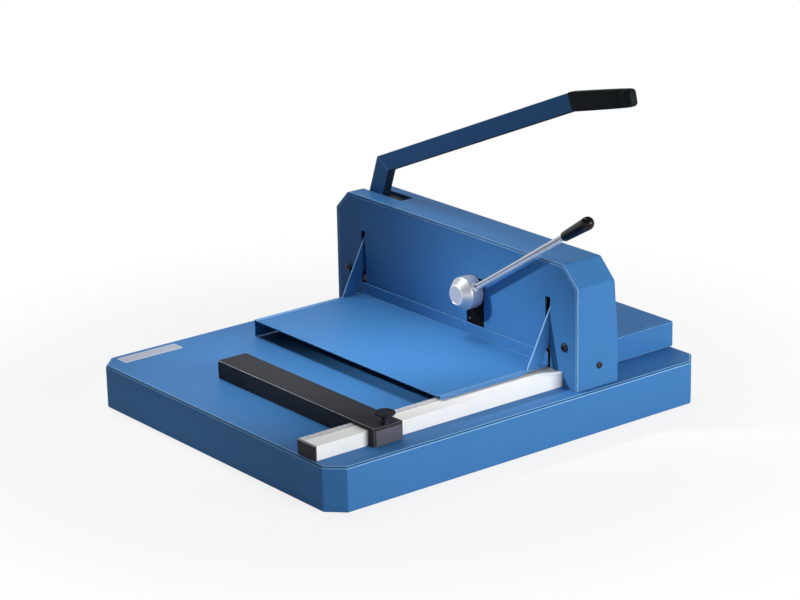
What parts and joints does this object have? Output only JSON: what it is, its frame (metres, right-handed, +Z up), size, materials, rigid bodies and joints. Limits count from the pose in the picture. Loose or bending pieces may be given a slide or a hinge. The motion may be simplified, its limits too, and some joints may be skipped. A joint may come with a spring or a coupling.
{
  "type": "stack paper cutter",
  "caption": "Bench paper cutter: a folded table, a bridge with a lever-driven blade and a cam clamp, swing guard, side lay with sliding backstop and a hinged rear hood.",
  "frame": {"origin": "centre of the base's footprint, on the surface that it stands on", "axes": "+X to the operator's right, along the cut; +Y away from the operator; +Z up"},
  "size_m": [0.6657, 0.698, 0.5288],
  "materials": {
    "blue_paint": "satin blue enamel",
    "black_oxide": "black oxide",
    "machined_steel": "machined",
    "crank_steel": "bare, lightly oiled",
    "chrome_steel": "polished",
    "blade_steel": "ground",
    "cast_iron_grey": "painted cast iron",
    "satin_aluminium": "turned satin",
    "white_aluminium": "pale anodised",
    "bronze": "machined bronze",
    "nylon": "matte nylon",
    "black_plastic": "satin black",
    "black_gloss": "gloss black",
    "stick_plastic": "matte red",
    "label_plastic": "semi-gloss pale film"
  },
  "bodies": {
    "frame": {"base_housing": "blue_paint", "bottom_plate": "cast_iron_grey", "bed_beam": "cast_iron_grey", "cutting_stick": "stick_plastic", "blank_label": "label_plastic", "upright_left": "cast_iron_grey", "upright_right": "cast_iron_grey", "upright_bolts": "machined_steel", "front_plate": "blue_paint", "front_plate_bolts": "black_oxide", "rear_frame_plate": "machined_steel", "frame_spacers": "machined_steel", "frame_bolts": "black_oxide", "bridge_cover": "blue_paint", "cover_bolts": "black_oxide", "lever_shaft": "machined_steel", "lever_shaft_rings": "machined_steel", "side_lay": "white_aluminium", "side_lay_scale": "white_aluminium", "side_lay_end_cap": "black_plastic", "side_lay_screws": "machined_steel", "cam_roller": "bronze", "cam_roller_stud": "machined_steel", "clamp_return_springs": "machined_steel", "spring_posts": "machined_steel", "guard_pivot_bolts": "machined_steel", "hood_hinge_fixed_leaves": "machined_steel", "hood_hinge_pins": "chrome_steel"},
    "blade_lever": {"blade_lever_arm": "blue_paint", "lever_grip": "black_plastic", "lever_crank": "crank_steel", "lever_bush": "bronze", "drive_pin": "machined_steel", "drive_roller": "bronze"},
    "blade_carriage": {"blade_carrier": "cast_iron_grey", "blade": "blade_steel", "blade_screws": "black_oxide", "guide_pins": "machined_steel", "guide_rollers": "bronze"},
    "clamp": {"clamp_beam": "machined_steel", "clamp_guide_blocks": "nylon", "clamp_guide_screws": "chrome_steel", "clamp_bearing_block": "cast_iron_grey", "clamp_block_screws": "machined_steel"},
    "clamp_lever": {"clamp_shaft": "machined_steel", "clamp_hub": "satin_aluminium", "clamp_rod": "chrome_steel", "clamp_knob": "black_gloss", "spiral_cam": "machined_steel"},
    "swing_guard": {"guard": "blue_paint"},
    "backstop": {"backstop_bar": "black_plastic", "backstop_end_plate": "satin_aluminium"},
    "thumb_screw_turn": {"thumb_screw": "machined_steel", "thumb_knob": "black_gloss"},
    "hood": {"rear_hood": "blue_paint", "hood_hinge_moving_leaves": "machined_steel"}
  },
  "joints": [
    {"name": "lever_swing", "type": "hinge", "parent": "frame", "child": "blade_lever", "pos_m": [-0.2487, 0.144, 0.188], "axis": [0, 1, 0], "range_deg": [-28, 22]},
    {"name": "blade_slide", "type": "slide", "parent": "frame", "child": "blade_carriage", "axis": [-0.1736, 0, -0.9848], "range_m": [-0.02163, 0.017]},
    {"name": "clamp_slide", "type": "slide", "parent": "frame", "child": "clamp", "axis": [0, 0, -1], "range_m": [0, 0.0355], "deforming": ["clamp_return_springs"]},
    {"name": "clamp_turn", "type": "hinge", "parent": "clamp", "child": "clamp_lever", "pos_m": [0.055, 0.095, 0.168], "axis": [0, -1, 0], "range_deg": [0, 130]},
    {"name": "guard_lift", "type": "hinge", "parent": "frame", "child": "swing_guard", "pos_m": [0, 0.12, 0.181], "axis": [-1, 0, 0], "range_deg": [0, 60]},
    {"name": "backstop_slide", "type": "slide", "parent": "frame", "child": "backstop", "axis": [0, 1, 0], "range_m": [-0.085, 0.09]},
    {"name": "thumb_screw_twist", "type": "hinge", "parent": "backstop", "child": "thumb_screw_turn", "pos_m": [0.2597, -0.2275, 0.103], "axis": [0, 0, 1], "range_deg": [0, 270]},
    {"name": "hood_lift", "type": "hinge", "parent": "frame", "child": "hood", "pos_m": [0, 0.1891, 0.1144], "axis": [1, 0, 0], "range_deg": [0, 75]}
  ],
  "couplings": [
    {"joint": "blade_slide", "follows": "lever_swing", "m_per_rad": 0.044217},
    {"joint": "clamp_slide", "follows": "clamp_turn", "m_per_rad": 0.015646}
  ]
}
